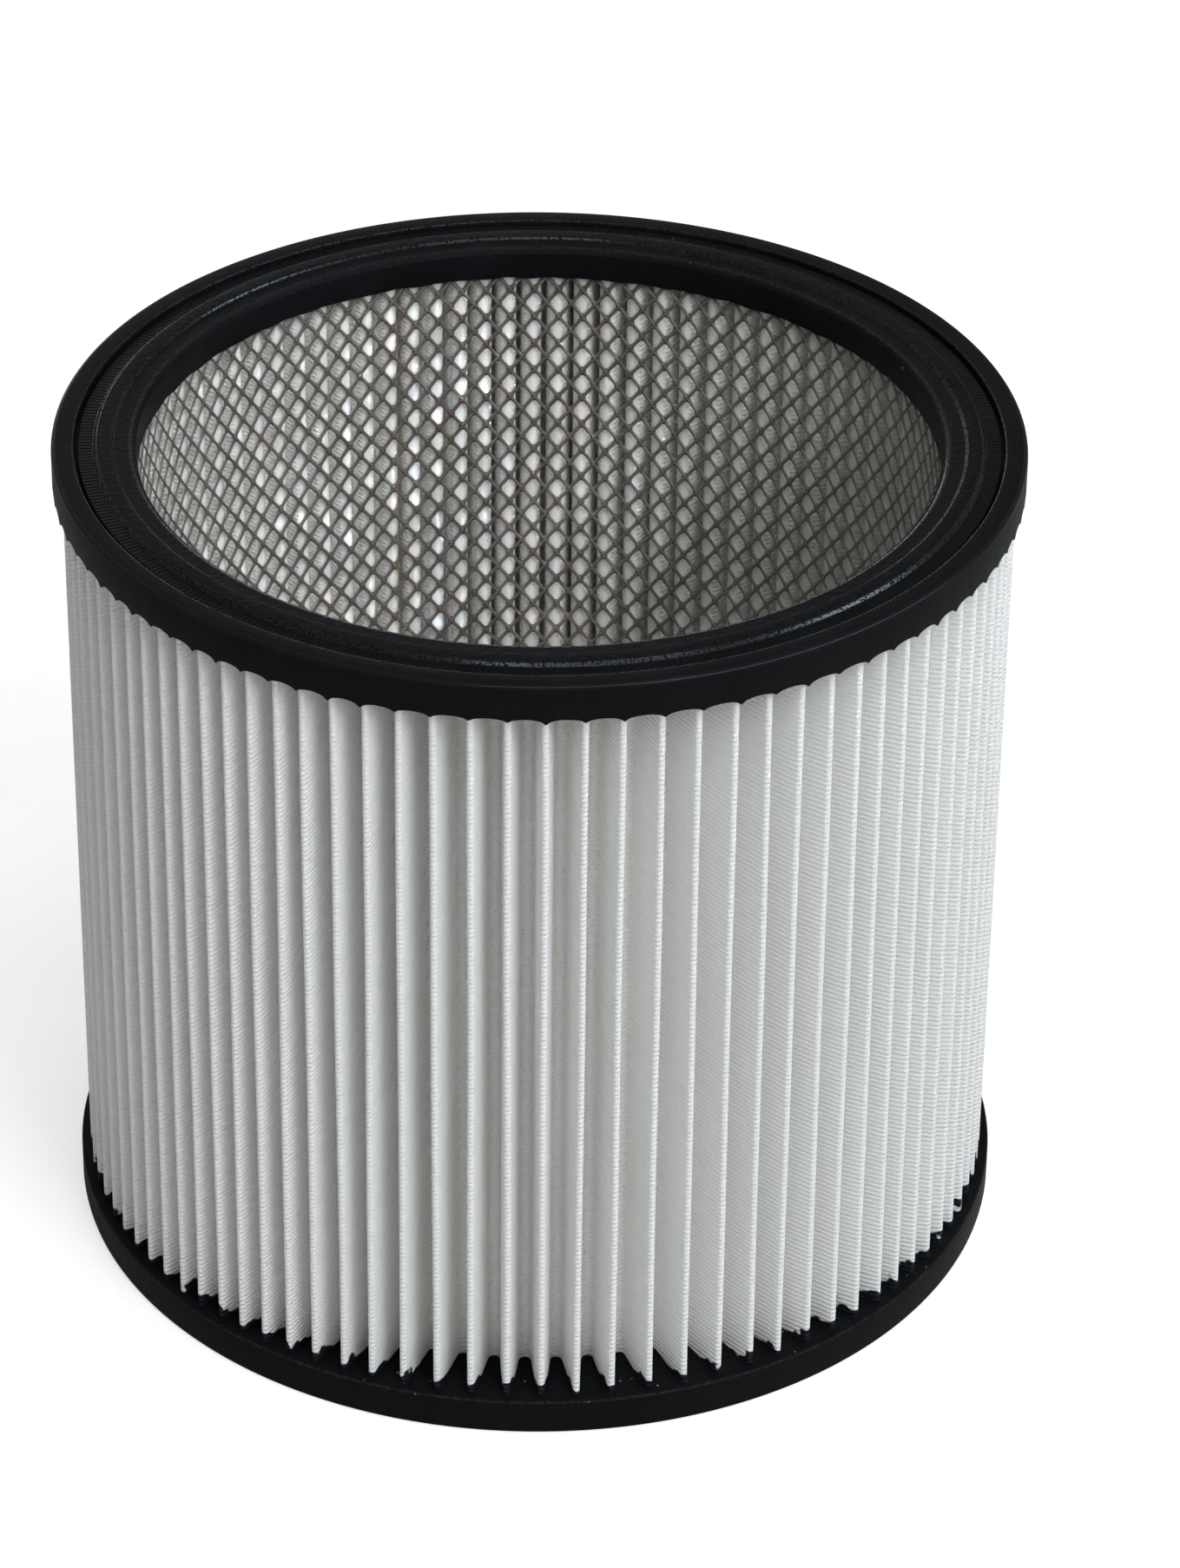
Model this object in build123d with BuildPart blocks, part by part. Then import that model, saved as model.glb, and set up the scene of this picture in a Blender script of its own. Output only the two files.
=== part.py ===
from build123d import *
from math import cos, pi, sin, sqrt
import os

# Pleated filter cartridge of a wet and dry vacuum cleaner, in millimetres. It stands on its
# bottom ring, with its axis along +Z and its origin at the centre of its base.

# Overall sizes
total_height = 172.4
bore_diameter = 157.0

# Diamond mesh tube behind the lip of the castings, its strands straight from crossing to crossing
lip_thickness = 0.4
mesh_thickness = 0.7
mesh_columns = 17
mesh_rows = 7
mesh_strand = 2.6
mesh_margin = 2.0

# Folded sheet round the mesh
pleat_count = 90
pleat_depth = 13.25
sheet_thickness = 0.7
fold_radius = 1.0
sheet_clearance = 0.2

# Glue bead along the seam of the sheet, at its angle about the axis
seam_angle = 114.0
seam_width = 1.0
seam_thickness = 0.45
seam_setback = 0.5
seam_side_angle = 60.0

# Cast end pieces, which reach past the pleats by the width of a rim
rim_width = 1.6
edge_chamfer = 0.6
ring_height = 7.7
cap_height = 7.0
skirt_depth = 0.9
skirt_clearance = 0.15

# Top face of the cap, from the outside in
flange_width = 4.4
groove_width = 0.7
groove_depth = 2.2
land_drop = 0.8
bead_slope = 0.7
bead_width = 3.0
mouth_width = 3.8
mouth_drop = 0.5
mouth_chamfer = 0.9

# Radii, from the bore outwards
bore_radius = bore_diameter / 2
mesh_inner = bore_radius + lip_thickness
mesh_outer = mesh_inner + mesh_thickness
mesh_crossing = mesh_outer / cos(pi / (2 * mesh_columns))
valley_radius = mesh_crossing + sheet_clearance
ridge_radius = valley_radius + pleat_depth
outside_radius = ridge_radius + rim_width

# Heights, from the base upwards
underside = total_height - cap_height
sheet_height = underside - ring_height

half_pitch = 180 / pleat_count


def polar(radius, angle):
    """The point at a radius and an angle in degrees about the axis."""
    return Vector(radius, 0).rotate(Axis.Z, angle)


def ridge_centre(pleat):
    return polar(ridge_radius - fold_radius, 2 * half_pitch * pleat)


def valley_centre(pleat):
    return polar(valley_radius + fold_radius, 2 * half_pitch * pleat + half_pitch)


def flank_normal(start, end, side):
    """The unit normal of the flank that crosses over from the fold at start to the one at end."""
    run = end - start
    lean = (2 * fold_radius - sheet_thickness) / run.length
    along = run.normalized()
    across = along.rotate(Axis.Z, 90 * side)
    return along * lean + across * sqrt(1 - lean**2)


def sheet_outlines():
    """The outer and inner zigzags of the sheet: rounded outside each fold, creased inside it."""
    outer = []
    inner = []
    crease_radius = fold_radius - sheet_thickness
    for pleat in range(pleat_count):
        ridge = ridge_centre(pleat)
        valley = valley_centre(pleat)
        before = flank_normal(ridge, valley_centre(pleat - 1), 1)
        after = flank_normal(ridge, valley, -1)
        beyond = flank_normal(valley, ridge_centre(pleat + 1), 1)
        outward = ridge.normalized()
        axisward = -valley.normalized()
        ridge_turns = (before, (before + outward).normalized(), (after + outward).normalized(), after)
        valley_turns = (-after, (axisward - after).normalized(), (axisward + beyond).normalized(), beyond)
        outer += [ridge + turn * fold_radius for turn in ridge_turns]
        outer += [valley - after * crease_radius, valley + beyond * crease_radius]
        inner += [ridge + before * crease_radius, ridge + after * crease_radius]
        inner += [valley + turn * fold_radius for turn in valley_turns]
    return outer, inner


# Bottom end ring: a plain cast annulus, which the sheet and the mesh stand on
with BuildPart() as bottom_end_ring:
    with BuildSketch(Plane.XY):
        Circle(outside_radius)
        Circle(bore_radius, mode=Mode.SUBTRACT)
    extrude(amount=ring_height)
    foot = bottom_end_ring.faces().sort_by(Axis.Z)[0]
    chamfer(foot.edges().sort_by(SortBy.RADIUS)[-1], length=edge_chamfer)

bottom_end_ring.part.label = "bottom_end_ring"

# Pleated medium: one sheet folded into a closed ring, standing between the two castings
outer_outline, inner_outline = sheet_outlines()
with BuildPart() as pleated_medium:
    with BuildSketch(Plane.XY.offset(ring_height)):
        with BuildLine():
            Polyline(*outer_outline, close=True)
        make_face()
        with BuildLine():
            Polyline(*inner_outline, close=True)
        make_face(mode=Mode.SUBTRACT)
    extrude(amount=sheet_height)

pleated_medium.part.label = "pleated_medium"

# Seam glue: a flat bead on the inner face of the flank where the sheet's two ends are lapped
seam_pleat = round(seam_angle / (2 * half_pitch))
seam_normal = flank_normal(ridge_centre(seam_pleat), valley_centre(seam_pleat), -1)
seam_foot = valley_centre(seam_pleat) - seam_normal * fold_radius + Vector(0, 0, ring_height)
with BuildPart() as seam_glue:
    with BuildSketch(Plane(seam_foot, x_dir=seam_normal.rotate(Axis.Z, 90))):
        with Locations((-seam_setback - seam_width / 2, seam_thickness / 2)):
            Trapezoid(seam_width, seam_thickness, seam_side_angle)
    extrude(amount=sheet_height)

seam_glue.part.label = "seam_glue"

# Support mesh: a thin tube opened by staggered rows of diamonds, which leave crossing strands
cell_width = 2 * mesh_crossing * sin(pi / mesh_columns)
cell_height = 2 * (sheet_height - 2 * mesh_margin) / (mesh_rows + 1)
with BuildPart() as diamond_gap:
    with BuildSketch(Plane.YZ):
        with BuildLine():
            Polyline(
                (cell_width / 2, 0),
                (0, cell_height / 2),
                (-cell_width / 2, 0),
                (0, -cell_height / 2),
                close=True,
            )
        make_face()
        offset(amount=-mesh_strand / 2, kind=Kind.INTERSECTION, mode=Mode.REPLACE)
    extrude(amount=2 * mesh_outer)

with BuildPart() as support_mesh:
    with BuildSketch(Plane.XY.offset(ring_height)):
        RegularPolygon(mesh_outer, 2 * mesh_columns, major_radius=False)
        RegularPolygon(mesh_inner, 2 * mesh_columns, major_radius=False, mode=Mode.SUBTRACT)
    extrude(amount=sheet_height)
    for row in range(mesh_rows):
        row_height = ring_height + mesh_margin + (row + 1) * cell_height / 2
        stagger = row % 2 * 180 / mesh_columns
        with Locations((0, 0, row_height)):
            with PolarLocations(0, mesh_columns, start_angle=stagger):
                add(diamond_gap.part, mode=Mode.SUBTRACT)

support_mesh.part.label = "support_mesh"

# Top end cap: the cast section turned about the axis, with a flange, a groove, a land and a
# sealing bead on top, and a skirt below that hides the ends of the pleats
flange_inner = outside_radius - flange_width
groove_inner = flange_inner - groove_width
mouth_outer = bore_radius + mouth_chamfer
bead_inner = mouth_outer + mouth_width
bead_outer = bead_inner + bead_width
mouth_top = total_height - mouth_drop
land_top = total_height - land_drop
skirt_inner = ridge_radius + skirt_clearance
skirt_bottom = underside - skirt_depth

with BuildPart() as top_end_cap:
    with BuildSketch(Plane.XZ):
        with BuildLine():
            Polyline(
                (outside_radius, skirt_bottom),
                (outside_radius, total_height - edge_chamfer),
                (outside_radius - edge_chamfer, total_height),
                (flange_inner, total_height),
                (flange_inner, total_height - groove_depth),
                (groove_inner, land_top),
                (bead_outer + bead_slope, land_top),
                (bead_outer, total_height),
                (bead_inner, total_height),
                (mouth_outer, mouth_top),
                (bore_radius, mouth_top - mouth_chamfer),
                (bore_radius, underside),
                (skirt_inner, underside),
                (skirt_inner, skirt_bottom),
                close=True,
            )
        make_face()
    revolve(axis=Axis.Z)

top_end_cap.part.label = "top_end_cap"

os.makedirs("parts", exist_ok=True)
for piece in (bottom_end_ring, pleated_medium, seam_glue, support_mesh, top_end_cap):
    export_step(piece.part, f"parts/{piece.part.label}.step")
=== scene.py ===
from math import atan2, cos, hypot, pi, radians, sin, sqrt
from random import Random

import bmesh
import bpy
from mathutils import Euler, Matrix, Vector, noise


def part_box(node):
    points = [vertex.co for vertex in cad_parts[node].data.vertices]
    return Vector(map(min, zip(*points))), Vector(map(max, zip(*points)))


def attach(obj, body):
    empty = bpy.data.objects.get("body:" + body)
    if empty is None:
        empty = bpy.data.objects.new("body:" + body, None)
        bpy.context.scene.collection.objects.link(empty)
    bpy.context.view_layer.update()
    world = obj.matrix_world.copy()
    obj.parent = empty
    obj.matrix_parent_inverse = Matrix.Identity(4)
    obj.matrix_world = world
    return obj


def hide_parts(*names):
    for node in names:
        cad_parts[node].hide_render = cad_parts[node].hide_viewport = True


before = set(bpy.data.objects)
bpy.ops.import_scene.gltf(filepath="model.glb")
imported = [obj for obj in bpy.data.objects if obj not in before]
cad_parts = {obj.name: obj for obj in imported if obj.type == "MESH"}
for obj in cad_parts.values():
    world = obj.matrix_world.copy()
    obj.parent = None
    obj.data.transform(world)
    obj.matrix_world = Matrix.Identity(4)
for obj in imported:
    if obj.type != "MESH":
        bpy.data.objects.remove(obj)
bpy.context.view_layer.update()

# Support mesh: a tube rolled from expanded steel, dull and brown-grey, that keeps the folded sheet
# from caving in. The press leaves its strands skew. Its two ends are cast into the end pieces.
mesh_low, mesh_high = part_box("support_mesh")
mesh_radius = 0.0793
mesh_columns = 99
mesh_rows = 25
strand_width = 0.00072
strand_thickness = 0.00045
strand_skew = 0.00016
corner_cut = 0.14
cell_half_width = pi * mesh_radius / mesh_columns
cell_half_height = (mesh_high.z - mesh_low.z) / mesh_rows / 2
cell_side = hypot(cell_half_width, cell_half_height)
gap_share = 1 - strand_width / 2 * cell_side / (cell_half_width * cell_half_height)


def begin(name):
    """Names the primitive that was just added, puts its place into its mesh and opens it for editing."""
    bpy.ops.object.transform_apply(location=True, rotation=True, scale=True)
    piece = bpy.context.object
    piece.name = name
    bpy.ops.object.mode_set(mode="EDIT")
    return piece


def pick(piece, kind, test):
    """Selects the verts, edges or faces of the piece in edit mode that pass a test, and only those."""
    bpy.ops.mesh.select_mode(type=kind)
    bpy.ops.mesh.select_all(action="DESELECT")
    mesh = bmesh.from_edit_mesh(piece.data)
    for part in {"VERT": mesh.verts, "EDGE": mesh.edges, "FACE": mesh.faces}[kind]:
        if test(part):
            part.select_set(True)
    mesh.select_flush_mode()
    bmesh.update_edit_mesh(piece.data)


def move(piece, place, chosen_only=True):
    """Puts each selected vertex of the piece in edit mode where place sends it."""
    mesh = bmesh.from_edit_mesh(piece.data)
    for vertex in mesh.verts:
        if vertex.select or not chosen_only:
            vertex.co = place(vertex.co)
    bmesh.update_edit_mesh(piece.data)


def close_up(piece, threshold=1e-6):
    """Merges the points that lie together, turns the faces outwards and leaves edit mode."""
    bpy.ops.mesh.select_mode(type="VERT")
    bpy.ops.mesh.select_all(action="SELECT")
    bpy.ops.mesh.remove_doubles(threshold=threshold)
    bpy.ops.mesh.normals_make_consistent(inside=False)
    bpy.ops.object.mode_set(mode="OBJECT")


def repeat(piece, count, step):
    """Lays copies of the piece one step apart and welds them where they meet."""
    array = piece.modifiers.new("repeat", "ARRAY")
    array.use_relative_offset = False
    array.use_constant_offset = True
    array.constant_offset_displace = step
    array.count = count
    array.use_merge_vertices = True
    array.merge_threshold = 1e-5
    bpy.ops.object.modifier_apply(modifier=array.name)


def gap_corner(point):
    """The outline of one gap in the flat mesh: a diamond with its corners cut."""
    side = cell_half_width * gap_share * (1 if point.x > 0 else -1)
    up = cell_half_height * gap_share * (1 if point.y > 0 else -1)
    share = corner_cut if abs(point.x) < abs(point.y) else 1 - corner_cut
    return Vector((side * share, up * (1 - share), strand_skew * up / cell_half_height * (1 - share)))


def crossing(point, depth):
    """The crossing of two strands that is nearest to a corner of the gap."""
    if abs(point.x) / cell_half_width > abs(point.y) / cell_half_height:
        return Vector((cell_half_width if point.x > 0 else -cell_half_width, 0, depth))
    return Vector((0, cell_half_height if point.y > 0 else -cell_half_height, depth))


bpy.ops.object.select_all(action="DESELECT")
bpy.ops.mesh.primitive_circle_add(vertices=8, radius=cell_half_width, rotation=(0, 0, pi / 8))
mesh_tube = begin("mesh_tube")
move(mesh_tube, gap_corner)
for face_side in (1, -1):
    pick(
        mesh_tube,
        "VERT",
        lambda vertex: abs(vertex.co.x) / cell_half_width + abs(vertex.co.y) / cell_half_height < 0.99,
    )
    bpy.ops.mesh.select_mode(type="EDGE")
    bpy.ops.mesh.extrude_edges_move()
    move(mesh_tube, lambda point: crossing(point, face_side * strand_thickness / 2))
close_up(mesh_tube)

repeat(mesh_tube, mesh_columns, (2 * cell_half_width, 0, 0))
repeat(mesh_tube, mesh_rows + 1, (0, 2 * cell_half_height, 0))
repeat(mesh_tube, 2, (cell_half_width, cell_half_height, 0))
mesh_length = 2 * cell_half_height * mesh_rows
bpy.ops.object.mode_set(mode="EDIT")
for edge_height, keep_up in ((0, 1), (mesh_length, -1)):
    bpy.ops.mesh.select_all(action="SELECT")
    bpy.ops.mesh.bisect(
        plane_co=(0, edge_height, 0), plane_no=(0, keep_up, 0), clear_inner=True, use_fill=True
    )


def rolled(point):
    """A point of the flat mesh on the tube, its front side turned to the axis."""
    angle = point.x / mesh_radius
    radius = mesh_radius - point.z
    return Vector((radius * cos(angle), radius * sin(angle), mesh_low.z + point.y))


move(mesh_tube, rolled, chosen_only=False)
close_up(mesh_tube, 1e-5)
bpy.ops.object.shade_smooth()


class Shade:
    """A value that changes over a surface, as one output socket of a material's nodes."""

    def __init__(self, tree, socket):
        self.tree = tree
        self.socket = socket

    def node(self, kind, settings, sockets, output=0):
        """A new node of a type, with its settings and then its sockets filled, and one of its outputs."""
        made = self.tree.nodes.new(kind)
        for name, value in settings.items():
            if name == "stops":
                while len(made.color_ramp.elements) < len(value):
                    made.color_ramp.elements.new(0.5)
                for element, (position, colour) in zip(made.color_ramp.elements, value):
                    element.position = position
                    element.color = (*colour, 1)
            else:
                setattr(made, name, value)
        for name, value in sockets.items():
            if isinstance(value, Shade):
                self.tree.links.new(made.inputs[name], value.socket)
            else:
                made.inputs[name].default_value = value
        return Shade(self.tree, made.outputs[output])

    def feed(self, shader, name):
        self.tree.links.new(shader.inputs[name], self.socket)

    def maths(self, operation, first, second=0.0):
        return self.node("ShaderNodeMath", {"operation": operation}, {0: first, 1: second})

    def __add__(self, other):
        return self.maths("ADD", self, other)

    __radd__ = __add__

    def __sub__(self, other):
        return self.maths("SUBTRACT", self, other)

    def __rsub__(self, other):
        return self.maths("SUBTRACT", other, self)

    def __mul__(self, other):
        return self.maths("MULTIPLY", self, other)

    __rmul__ = __mul__


def new_finish(piece, name, **constants):
    """A material of its own for a piece, with the shader's plain values, and its Object coordinates."""
    material = bpy.data.materials.new(name)
    material.use_nodes = True
    piece.data.materials.clear()
    piece.data.materials.append(material)
    shader = material.node_tree.nodes["Principled BSDF"]
    for socket, value in constants.items():
        shader.inputs[socket.replace("_", " ")].default_value = value
    coordinates = material.node_tree.nodes.new("ShaderNodeTexCoord")
    return shader, Shade(material.node_tree, coordinates.outputs["Object"])


def grain(place, scale, detail=2.0, roughness=0.5):
    """Soft noise about 0.5, of a number of lumps per metre."""
    sockets = {"Vector": place, "Scale": scale, "Detail": detail, "Roughness": roughness}
    return place.node("ShaderNodeTexNoise", {}, sockets)


def between(value, low, high):
    """0 below low, 1 above high and a smooth rise from one to the other."""
    return value.node(
        "ShaderNodeMapRange",
        {"interpolation_type": "SMOOTHSTEP"},
        {"Value": value, "From Min": low, "From Max": high},
    )


def ramp(value, *stops):
    """Colours along a value from 0 to 1."""
    return value.node("ShaderNodeValToRGB", {"stops": stops}, {"Fac": value})


def mixed(share, first, second):
    """A colour part of the way from the first colour to the second."""
    first = first if isinstance(first, Shade) else (*first, 1)
    second = second if isinstance(second, Shade) else (*second, 1)
    return share.node("ShaderNodeMix", {"data_type": "RGBA"}, {0: share, 6: first, 7: second}, 2)


def bumps(height, distance, strength=1.0):
    """Normals of a relief whose height of 1 is a distance in metres."""
    sockets = {"Height": height, "Distance": distance, "Strength": strength}
    return height.node("ShaderNodeBump", {}, sockets)


steel, place = new_finish(mesh_tube, "dull_steel", Metallic=0.6)
tarnish = grain(place, 60, 3)
pits = grain(place, 1500, 2)
steel_tone = ramp(tarnish * 0.6 + pits * 0.4, (0.3, (0.15, 0.13, 0.105)), (0.7, (0.32, 0.29, 0.25)))
steel_tone.feed(steel, "Base Color")
(0.32 + pits * 0.25).feed(steel, "Roughness")
bumps(pits, 0.00006).feed(steel, "Normal")
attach(mesh_tube, "root")
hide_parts("support_mesh")

# Pleated sheet: one length of white polyester fleece, embossed all over with fine ribs, folded to and
# fro and closed to a ring. Its folds are not quite even, and its two edges are cast into the end pieces.
sheet_low, sheet_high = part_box("pleated_medium")
pleat_count = 90
ridge_radius = sheet_high.x
valley_radius = 0.08014
sheet_thickness = 0.0006
ridge_fold = 0.0007
valley_fold = 0.0018
fold_steps = 5
flank_steps = 4
sheet_rows = 16
sheet_potting = 0.0004
gather = radians(2.1)
gather_turn = radians(283)
pleat_random = Random(7)
pleat_jitter = [radians(pleat_random.uniform(-0.12, 0.12)) for pleat in range(pleat_count)]
pleat_lean = [radians(pleat_random.uniform(-0.12, 0.12)) for pleat in range(pleat_count)]
flank_bow = [pleat_random.uniform(-0.00012, 0.00012) for flank in range(2 * pleat_count)]


def ridge_angle(pleat):
    """Where a ridge stands about the axis: the pleats are gathered closer in some places than in others."""
    even = 2 * pi * pleat / pleat_count
    return even + gather * sin(3 * (even - gather_turn)) + pleat_jitter[pleat % pleat_count]


def polar(radius, angle):
    return Vector((radius * cos(angle), radius * sin(angle)))


def ridge_centre(pleat):
    return polar(ridge_radius - ridge_fold, ridge_angle(pleat))


def valley_centre(pleat):
    return polar(valley_radius + valley_fold, (ridge_angle(pleat) + ridge_angle(pleat + 1)) / 2)


def flank_normal(start, end, side):
    """The direction from a fold's centre to the flank that crosses over from it to the next fold."""
    run = end - start
    lean = (ridge_fold + valley_fold - sheet_thickness) / run.length
    along = run.normalized()
    across = Vector((-along.y, along.x)) * side
    return along * lean + across * sqrt(1 - lean**2)


def fold(centre, radius, first, last):
    """Points round a fold at half the sheet's thickness, from one flank to the other."""
    turn = first.angle_signed(last)
    start = atan2(first.y, first.x)
    middle = radius - sheet_thickness / 2
    return [centre + polar(middle, start - turn * step / fold_steps) for step in range(fold_steps + 1)]


def flank(start, end, bow):
    """Points inside a flank, a little bowed, from the end of one fold to the start of the next."""
    across = Vector((start.y - end.y, end.x - start.x)).normalized()
    shares = [step / flank_steps for step in range(1, flank_steps)]
    return [start.lerp(end, share) + across * bow * sin(pi * share) for share in shares]


sheet_line = []
sheet_pleat = []
for pleat in range(pleat_count):
    ridge = ridge_centre(pleat)
    valley = valley_centre(pleat)
    next_ridge = ridge_centre(pleat + 1)
    before = flank_normal(ridge, valley_centre(pleat - 1), 1)
    after = flank_normal(ridge, valley, -1)
    beyond = flank_normal(valley, next_ridge, 1)
    next_before = flank_normal(next_ridge, valley, 1)
    over = fold(ridge, ridge_fold, before, after)
    under = fold(valley, valley_fold, -after, beyond)
    next_start = next_ridge + next_before * (ridge_fold - sheet_thickness / 2)
    points = over + flank(over[-1], under[0], flank_bow[2 * pleat])
    points += under + flank(under[-1], next_start, flank_bow[2 * pleat + 1])
    sheet_line += points
    sheet_pleat += [pleat] * len(points)

sheet_columns = len(sheet_line)
sheet_run = [0.0]
for column in range(sheet_columns):
    sheet_run.append(sheet_run[-1] + (sheet_line[(column + 1) % sheet_columns] - sheet_line[column]).length)

sheet_bottom = sheet_low.z - sheet_potting
sheet_depth = sheet_high.z - sheet_low.z + 2 * sheet_potting
bpy.ops.object.select_all(action="DESELECT")
bpy.ops.mesh.primitive_cylinder_add(
    vertices=sheet_columns,
    radius=ridge_radius,
    depth=sheet_depth,
    end_fill_type="NOTHING",
    location=(0, 0, sheet_bottom + sheet_depth / 2),
)
pleated_sheet = begin("pleated_sheet")
pick(pleated_sheet, "EDGE", lambda edge: abs(edge.verts[0].co.z - edge.verts[1].co.z) > sheet_depth / 2)
bpy.ops.mesh.subdivide(number_cuts=sheet_rows - 1)


def column_of(point):
    return round(atan2(point.y, point.x) / (2 * pi) * sheet_columns) % sheet_columns


def folded(point):
    """A point of the round tube on the folded sheet, whose ridges stand a little out of plumb."""
    column = column_of(point)
    spot = sheet_line[column]
    depth = (spot.length - valley_radius) / (ridge_radius - valley_radius)
    rise = (point.z - sheet_bottom) / sheet_depth - 0.5
    pleat = sheet_pleat[column]
    lean = pleat_lean[pleat] * rise * 2 + radians(0.04) * sin(9 * rise + 2.3 * pleat)
    turned = spot.to_3d()
    turned.rotate(Euler((0, 0, lean * depth)))
    turned.z = point.z
    return turned


mesh = bmesh.from_edit_mesh(pleated_sheet.data)
along_sheet = mesh.loops.layers.uv.verify()
for face in mesh.faces:
    columns = [column_of(loop.vert.co) for loop in face.loops]
    for loop, column in zip(face.loops, columns):
        if max(columns) - column > sheet_columns / 2:
            column += sheet_columns
        loop[along_sheet].uv = (sheet_run[column], loop.vert.co.z)
move(pleated_sheet, folded, chosen_only=False)
bpy.ops.object.mode_set(mode="OBJECT")
cloth = pleated_sheet.modifiers.new("thickness", "SOLIDIFY")
cloth.thickness = sheet_thickness
cloth.offset = 0
cloth.use_even_offset = True
bpy.ops.object.modifier_apply(modifier=cloth.name)
bpy.ops.object.shade_smooth_by_angle(angle=radians(50))

rib_pitch = 0.00105
rib_slope = 0.18
fleece, place = new_finish(pleated_sheet, "white_fleece", Specular_IOR_Level=0.2)


def split(place):
    """The three coordinates of a place and its distance from the axis."""
    sides = [place.node("ShaderNodeSeparateXYZ", {}, {"Vector": place}, axis) for axis in range(3)]
    return (*sides, place.maths("SQRT", sides[0] * sides[0] + sides[1] * sides[1]))


sheet_map = place.node("ShaderNodeUVMap", {"uv_map": pleated_sheet.data.uv_layers[0].name}, {})
split_map = {"Vector": sheet_map}
run_along = place.node("ShaderNodeSeparateXYZ", {}, split_map, 0)
run_up = place.node("ShaderNodeSeparateXYZ", {}, split_map, 1)
height, outwards = split(place)[2:]
fold_depth = between(outwards, valley_radius, ridge_radius)
fibres = grain(place, 900, 2, 0.6)
clouds = grain(place, 45, 1)
rib_wave = place.maths("SINE", (run_up - run_along * rib_slope) * (2 * pi / rib_pitch) + fibres * 1.6)
dots = place.maths("SINE", (run_along + run_up * rib_slope) * (2 * pi / 0.0011)) * rib_wave
folds_out = between(outwards, valley_radius + 0.0002, valley_radius + 0.0008)
emboss = (rib_wave * 0.4 + dots * 0.15 + fibres * 0.9) * folds_out
specks = between(grain(place, 1300, 1), 0.79, 0.83)
wick_edge = grain(place, 260, 1, 0.6)
wick_rise = between(fold_depth, 0.5, 1.0) * (wick_edge * 0.007 - 0.0018)
wick = 1 - between(height - sheet_low.z - wick_rise, 0.0, 0.0004)
# Painted shade: the white turns a little darker and warmer towards the valley folds, nearer the axis, under
# a random cloudy tone.
white = ramp(
    fold_depth * 0.75 + clouds * 0.35 - 0.05,
    (0.0, (0.93, 0.92, 0.895)),
    (0.45, (0.945, 0.94, 0.925)),
    (1.0, (0.95, 0.95, 0.94)),
)
white = mixed(between(fibres, 0.35, 0.75) * 0.08, white, (0.7, 0.7, 0.68))
# Painted shade: the troughs of the embossed ribs are darker, away from the valley folds.
white = mixed((1 - between(rib_wave, -1.0, 1.0)) * folds_out * 0.25, white, (0.82, 0.82, 0.8))
# Painted shade: rows of dark dots along the valley folds, standing for the shade of the embossed points
# there.
outer_valley = between(outwards, valley_radius + 0.0006, valley_radius + 0.0008)
outer_valley = outer_valley * (1 - between(outwards, valley_radius + 0.0014, valley_radius + 0.0022))
valley_dot_shade = between(dots + fibres * 2.0 - 1.0, 0.35, 0.8) * outer_valley
white = mixed(valley_dot_shade * 0.4, white, (0.3, 0.29, 0.26))
white = mixed(specks * 0.5, white, (0.25, 0.23, 0.2))
mixed(wick, white, (0.012, 0.014, 0.02)).feed(fleece, "Base Color")
(0.85 - wick * 0.5).feed(fleece, "Roughness")
bumps(emboss, 0.00015).feed(fleece, "Normal")
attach(pleated_sheet, "root")
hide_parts("pleated_medium")

# Seam glue: a bead of yellowish hot-melt along the flank where the sheet's two ends are lapped. It was
# laid by a moving nozzle, so it thickens and thins on its way up.
seam_low, seam_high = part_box("seam_glue")
seam_angle = radians(114)
seam_width = 0.0011
seam_thickness = 0.0005
seam_rows = 48
seam_pleat = min(
    range(pleat_count), key=lambda pleat: abs(valley_centre(pleat).angle_signed(polar(1, seam_angle)))
)
seam_normal = flank_normal(ridge_centre(seam_pleat), valley_centre(seam_pleat), -1)
seam_along = Vector((-seam_normal.y, seam_normal.x))
seam_foot = valley_centre(seam_pleat) - seam_normal * valley_fold - seam_along * 0.0010

bpy.ops.object.select_all(action="DESELECT")
bpy.ops.mesh.primitive_cylinder_add(
    vertices=10,
    radius=1,
    depth=seam_high.z - seam_low.z,
    location=(0, 0, (seam_high.z + seam_low.z) / 2),
)
seam_bead = begin("seam_bead")
pick(seam_bead, "EDGE", lambda edge: abs(edge.verts[0].co.z - edge.verts[1].co.z) > 0.01)
bpy.ops.mesh.subdivide(number_cuts=seam_rows - 1)


def bead_point(point):
    """A point of the round bar on the bead: flat against the flank, crowned on its free side."""
    swell = 1 + 0.35 * noise.noise(Vector((3.1, 0.7, point.z * 90)))
    drift = 0.0002 * noise.noise(Vector((8.3, 2.1, point.z * 45)))
    spot = seam_foot + seam_along * (point.x * seam_width / 2 * swell + drift)
    spot -= seam_normal * (max(point.y, -0.2) + 0.2) / 1.2 * seam_thickness * swell
    return Vector((spot.x, spot.y, point.z))


move(seam_bead, bead_point, chosen_only=False)
close_up(seam_bead)
bpy.ops.object.shade_smooth_by_angle(angle=radians(60))

glue, place = new_finish(seam_bead, "amber_glue", Roughness=0.3, Coat_Weight=0.3)
glue_tone = ramp(grain(place, 320, 3), (0.3, (0.34, 0.25, 0.12)), (0.7, (0.6, 0.5, 0.32)))
glue_tone.feed(glue, "Base Color")
bumps(grain(place, 900, 2), 0.0001).feed(glue, "Normal")
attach(seam_bead, "root")
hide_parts("seam_glue")

# Bottom end ring: black polyurethane, cast in an open tray round the lower edges of the sheet and the
# mesh. Its top face is as it set, with a soft edge and small bubbles.
ring_low, ring_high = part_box("bottom_end_ring")
ring_outside = ring_high.x
bore_radius = 0.0785
ring_steps = 8


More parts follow.
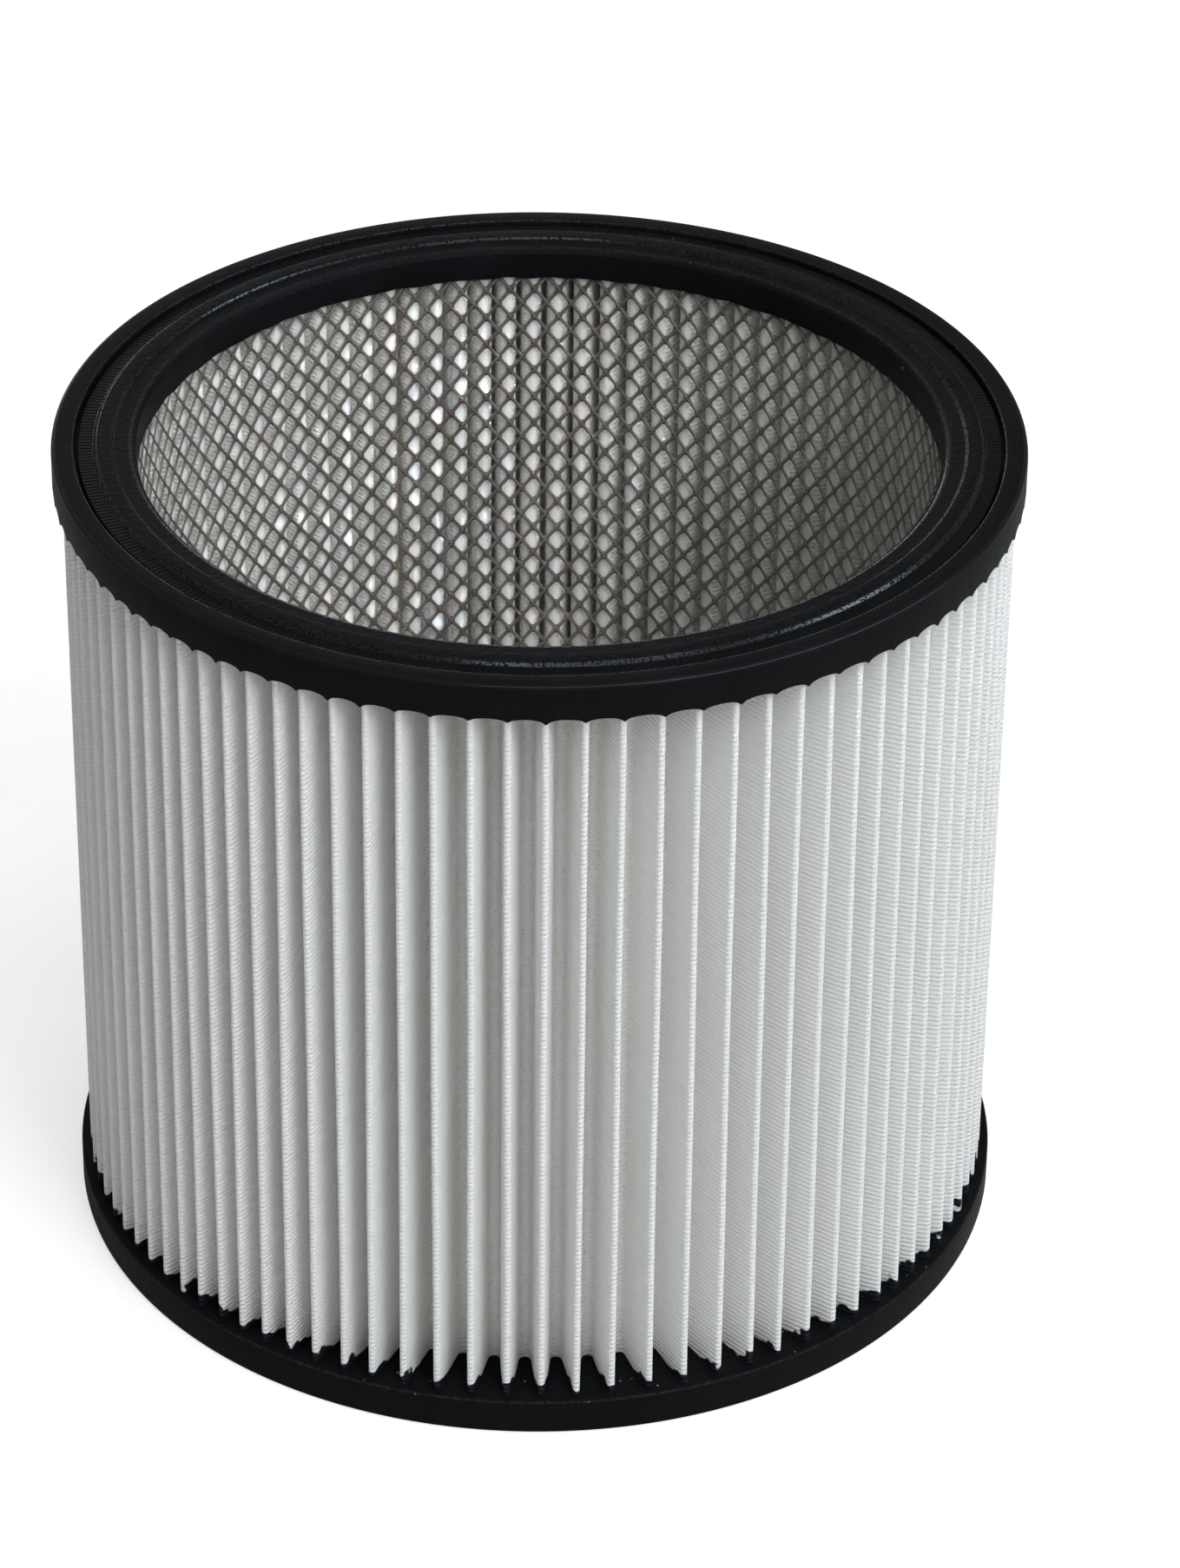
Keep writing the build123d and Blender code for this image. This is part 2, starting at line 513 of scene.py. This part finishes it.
def cast_round(name, section):
    """A ring turned from corners of radius, height and rounding, with eight steps to each pleat."""
    bpy.ops.object.select_all(action="DESELECT")
    bpy.ops.mesh.primitive_plane_add(size=0.001)
    piece = begin(name)
    pick(piece, "VERT", lambda vertex: vertex.index > 0)
    bpy.ops.mesh.delete(type="VERT")
    bpy.ops.mesh.select_all(action="SELECT")
    corners = [Vector((radius, 0, height)) for radius, height, rounding in section]
    move(piece, lambda point: corners[0])
    for start, end in zip(corners, corners[1:]):
        bpy.ops.mesh.extrude_vertices_move(TRANSFORM_OT_translate={"value": end - start})
    ends = (corners[0], corners[-1])
    pick(piece, "VERT", lambda vertex: any((vertex.co - end).length < 1e-7 for end in ends))
    bpy.ops.mesh.edge_face_add()
    for corner, (radius, height, rounding) in zip(corners, section):
        if rounding:
            pick(piece, "VERT", lambda vertex: (vertex.co - corner).length < 1e-7)
            bpy.ops.mesh.bevel(affect="VERTICES", offset=rounding, segments=4, profile=0.5)
    bpy.ops.mesh.select_all(action="SELECT")
    bpy.ops.mesh.spin(steps=ring_steps * pleat_count, angle=2 * pi, center=(0, 0, 0), axis=(0, 0, 1))
    bpy.ops.mesh.select_all(action="SELECT")
    bpy.ops.mesh.remove_doubles(threshold=1e-7)
    return piece


def pleat_share(angle):
    """Which step of its ring a point stands on, as a pleat and the share of the way to the next."""
    step = round(angle / (2 * pi) * ring_steps * pleat_count) % (ring_steps * pleat_count)
    return step // ring_steps, step % ring_steps / ring_steps


def pleat_place(pleat, share):
    return ridge_angle(pleat) + share * (ridge_angle(pleat + 1) - ridge_angle(pleat))


ring_section = [
    (ring_outside, ring_low.z, 0.0007),
    (ring_outside, ring_high.z, 0.0004),
    (0.0922, ring_high.z, 0),
    (0.0885, ring_high.z, 0),
    (0.0845, ring_high.z, 0),
    (0.0805, ring_high.z, 0),
    (bore_radius, ring_high.z, 0.0003),
    (bore_radius, ring_low.z, 0.0004),
]
end_ring = cast_round("end_ring", ring_section)


def ring_point(point):
    """The set surface of the pour, with shallow dips all over it."""
    radius = hypot(point.x, point.y)
    rise = min(1.0, max(0.0, (point.z - ring_low.z - 0.006) / (ring_high.z - ring_low.z - 0.006)))
    angle = atan2(point.y, point.x) % (2 * pi)
    pleat, share = pleat_share(angle)
    sink = 0.00025 * rise * noise.noise(Vector((point.x * 160, point.y * 160, 0.4)))
    place = polar(radius, pleat_place(pleat, share))
    return Vector((place.x, place.y, point.z - abs(sink)))


move(end_ring, ring_point, chosen_only=False)
close_up(end_ring, 1e-7)
bpy.ops.object.shade_smooth_by_angle(angle=radians(40))


def cast_black(piece, name):
    """Satin black polyurethane: a fine grain with paler dust in it."""
    shader, place = new_finish(piece, name, Specular_IOR_Level=0.06)
    fine = grain(place, 1800, 3, 0.6)
    broad = grain(place, 70, 3)
    dust = between(grain(place, 2600, 1), 0.72, 0.80)
    tone = ramp(fine * 0.5 + broad * 0.5, (0.3, (0.003, 0.0034, 0.0042)), (0.75, (0.0065, 0.007, 0.0082)))
    tone = mixed(dust * 0.12, tone, (0.16, 0.16, 0.16))
    tone.feed(shader, "Base Color")
    (0.36 + fine * 0.2 + broad * 0.06).feed(shader, "Roughness")
    return shader, place, fine, tone


ring_black, place, fine, ring_tone = cast_black(end_ring, "cast_black_ring")
height, outwards = split(place)[2:]
ring_top = ring_high.z
# A paler brown line along the ring's top outer edge: partly wear, partly painted highlight.
edge_wear_and_highlight = between(outwards, 0.0946, 0.0948) * between(height, ring_top - 0.0006, ring_top - 0.0003)
# Pale specks on the ring's top face: partly crumbs, partly painted glints on small bubbles.
crumbs_and_glints = between(grain(place, 800, 1), 0.76, 0.79) * between(height, ring_top - 0.0006, ring_top - 0.0004)
ring_tone = mixed(edge_wear_and_highlight * between(fine, 0.35, 0.6) * 0.4, ring_tone, (0.05, 0.042, 0.036))
mixed(crumbs_and_glints * 0.8, ring_tone, (0.5, 0.5, 0.48)).feed(ring_black, "Base Color")
bumps(fine, 0.00008, 0.8).feed(ring_black, "Normal")
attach(end_ring, "root")
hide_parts("bottom_end_ring")

# Top end cap: the same black polyurethane, cast in a mould that gives it its flange, groove, ribbed land
# and sealing bead. Below, it crept a little way down each pleat and left a scalloped edge.
cap_low, cap_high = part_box("top_end_cap")
cap_top = cap_high.z
underside = cap_top - 0.007
skirt_edge = cap_top - 0.0071
cusp_depth = 0.0012
cap_random = Random(11)
cusp_share = [cap_random.uniform(0.7, 1.25) for pleat in range(pleat_count)]
cap_section = [
    (ring_outside, skirt_edge, 0.0002),
    (ring_outside, cap_top, 0.0008),
    (0.09059, cap_top, 0.00035),
    (0.09050, cap_top - 0.0022, 0),
    (0.08995, cap_top - 0.0022, 0),
    (0.08989, cap_top - 0.0008, 0.0003),
    (0.0869, cap_top - 0.0008, 0.0002),
    (0.0862, cap_top, 0.0003),
    (0.0833, cap_top, 0.0002),
    (0.0829, cap_top - 0.00056, 0.0002),
    (0.0796, cap_top - 0.0006, 0.0005),
    (bore_radius, cap_top - 0.0014, 0.0004),
    (bore_radius, underside, 0.0002),
    (0.0797, underside, 0),
    (0.09354, underside, 0),
    (0.09354, skirt_edge, 0),
]
end_cap = cast_round("end_cap", cap_section)


def cap_point(point):
    """The cap with its skirt drawn down to a cusp over each ridge and a wavering edge at the mesh."""
    radius = hypot(point.x, point.y)
    pleat, share = pleat_share(atan2(point.y, point.x) % (2 * pi))
    place = polar(radius, pleat_place(pleat, share))
    height = point.z
    if radius > 0.093 and height < underside + 0.0004:
        off_middle = abs(2 * share - 1)
        deep = cusp_share[pleat if share < 0.5 else (pleat + 1) % pleat_count]
        height -= cusp_depth * deep * (1 - sqrt(1 - 0.97 * off_middle**2))
    if radius < 0.0789 and height < underside + 0.0004:
        height -= 0.00035 * (0.6 + noise.noise(Vector((place.x * 220, place.y * 220, 2.0))))
    return Vector((place.x, place.y, height))


move(end_cap, cap_point, chosen_only=False)
close_up(end_cap, 1e-7)
bpy.ops.object.shade_smooth_by_angle(angle=radians(40))

land_ribs = 470
cap_black, place, fine, _ = cast_black(end_cap, "cast_black_cap")
side_x, side_y, height, outwards = split(place)
around = place.maths("ARCTAN2", side_y, side_x)
on_land = between(outwards, 0.0869, 0.0871) * (1 - between(outwards, 0.0897, 0.0899))
on_bead = between(outwards, 0.0790, 0.0794) * (1 - between(outwards, 0.0868, 0.0870))
ribs = place.maths("SINE", around * land_ribs) * on_land
peel = grain(place, 750, 2) * on_bead
relief = ribs * 0.5 + peel * 1.4 + fine * 0.5
on_crest = between(outwards, 0.0827, 0.0828) * (1 - between(outwards, 0.0869, 0.0871))
on_crest = on_crest * (1 - between(outwards, 0.0833, 0.0835) * (1 - between(outwards, 0.0859, 0.0861)))
on_flange = between(outwards, 0.0904, 0.0905) * (1 - between(outwards, 0.0909, 0.0911))
on_rim = between(outwards, 0.0940, 0.0942) * between(height, cap_top - 0.0008, cap_top - 0.0005)
on_mouth = between(outwards, 0.0791, 0.0793) * (1 - between(outwards, 0.0799, 0.0802))
broken = between(fine, 0.42, 0.5)
(on_crest * broken + on_flange * broken + on_rim * 0.5 + on_mouth * broken).feed(cap_black, "Coat Weight")
cap_black.inputs["Coat Roughness"].default_value = 0.2
bumps(relief, 0.00016, 0.8).feed(cap_black, "Normal")
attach(end_cap, "root")
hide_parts("top_end_cap")

# Studio: a pale floor that shows as white and keeps a soft shadow, a large window at the front right,
# three narrow strips that the black cap reflects, a ceiling, a small lamp for the bore, and a camera
# that looks down on the cartridge from the front.
bpy.ops.object.select_all(action="DESELECT")
bpy.ops.mesh.primitive_plane_add(size=8)
floor = bpy.context.object
floor.name = "floor"
paper, place = new_finish(floor, "white_paper", Roughness=0.9)
mottle = grain(place, 30, 3)
ramp(mottle, (0.3, (0.62, 0.62, 0.62)), (0.7, (0.66, 0.66, 0.66))).feed(paper, "Base Color")
seen = place.node("ShaderNodeLightPath", {}, {}, 0)
mixed(seen, (0, 0, 0), (0.6, 0.6, 0.6)).feed(paper, "Emission Color")
paper.inputs["Emission Strength"].default_value = 1.0

world = bpy.data.worlds.new("studio")
bpy.context.scene.world = world
world.use_nodes = True
room = world.node_tree.nodes["Background"]
room.inputs["Color"].default_value = (1.0, 0.985, 0.96, 1)
room.inputs["Strength"].default_value = 0.16


def window(name, place, size, power, colour, target=(0, 0, 0.09)):
    """A soft lamp that faces the middle of the cartridge, or another target."""
    lamp = bpy.data.lights.new(name, "AREA")
    lamp.shape = "RECTANGLE"
    lamp.size, lamp.size_y = size
    lamp.energy = power
    lamp.color = colour
    holder = bpy.data.objects.new(name, lamp)
    bpy.context.scene.collection.objects.link(holder)
    holder.location = place
    holder.rotation_euler = (Vector(target) - Vector(place)).to_track_quat("-Z", "Y").to_euler()
    return holder


window_front = window("window_front", (0.52, -0.94, 1.13), (0.5, 0.9), 7.4, (0.97, 0.985, 1.0))
window_front.visible_glossy = False
window("window_right", (0.9, -0.42, 0.95), (1.8, 0.08), 5.5, (0.78, 0.9, 1.0))
room_front = window("room_front", (0.25, -1.3, 0.75), (1.0, 0.6), 1.6, (1.0, 0.985, 0.95))
room_front.visible_glossy = False
ceiling = window("ceiling", (0.1, -0.1, 1.7), (0.9, 0.9), 9.5, (1.0, 0.99, 0.97))
ceiling.visible_glossy = False
window("backdrop", (-0.3, 1.25, 0.4), (0.9, 0.12), 0.9, (0.95, 0.98, 1.0))
window("window_top", (0.17, -0.634, 1.326), (0.9, 0.06), 2, (0.85, 0.94, 1.0))
bore_target = (-0.028, 0.055, 0.125)
bore_lamp = window("bore_lamp", (0.69, -0.58, 1.27), (0.12, 0.12), 0.05, (0.94, 0.97, 1.0), bore_target)
bore_lamp.data.spread = radians(6)
bore_lamp.visible_glossy = False

camera = bpy.data.cameras.new("camera")
camera.lens = 131.28
camera.sensor_width = 36
camera_holder = bpy.data.objects.new("camera", camera)
bpy.context.scene.collection.objects.link(camera_holder)
camera_roll = Matrix.Rotation(radians(0.712), 3, "Z")
camera_turn = Euler((radians(57.461), 0, radians(-0.622))).to_matrix() @ camera_roll
camera_holder.matrix_world = Matrix.Translation((0, -0.9757, 0.7137)) @ camera_turn.to_4x4()
bpy.context.scene.camera = camera_holder
bpy.context.scene.view_settings.view_transform = "Standard"
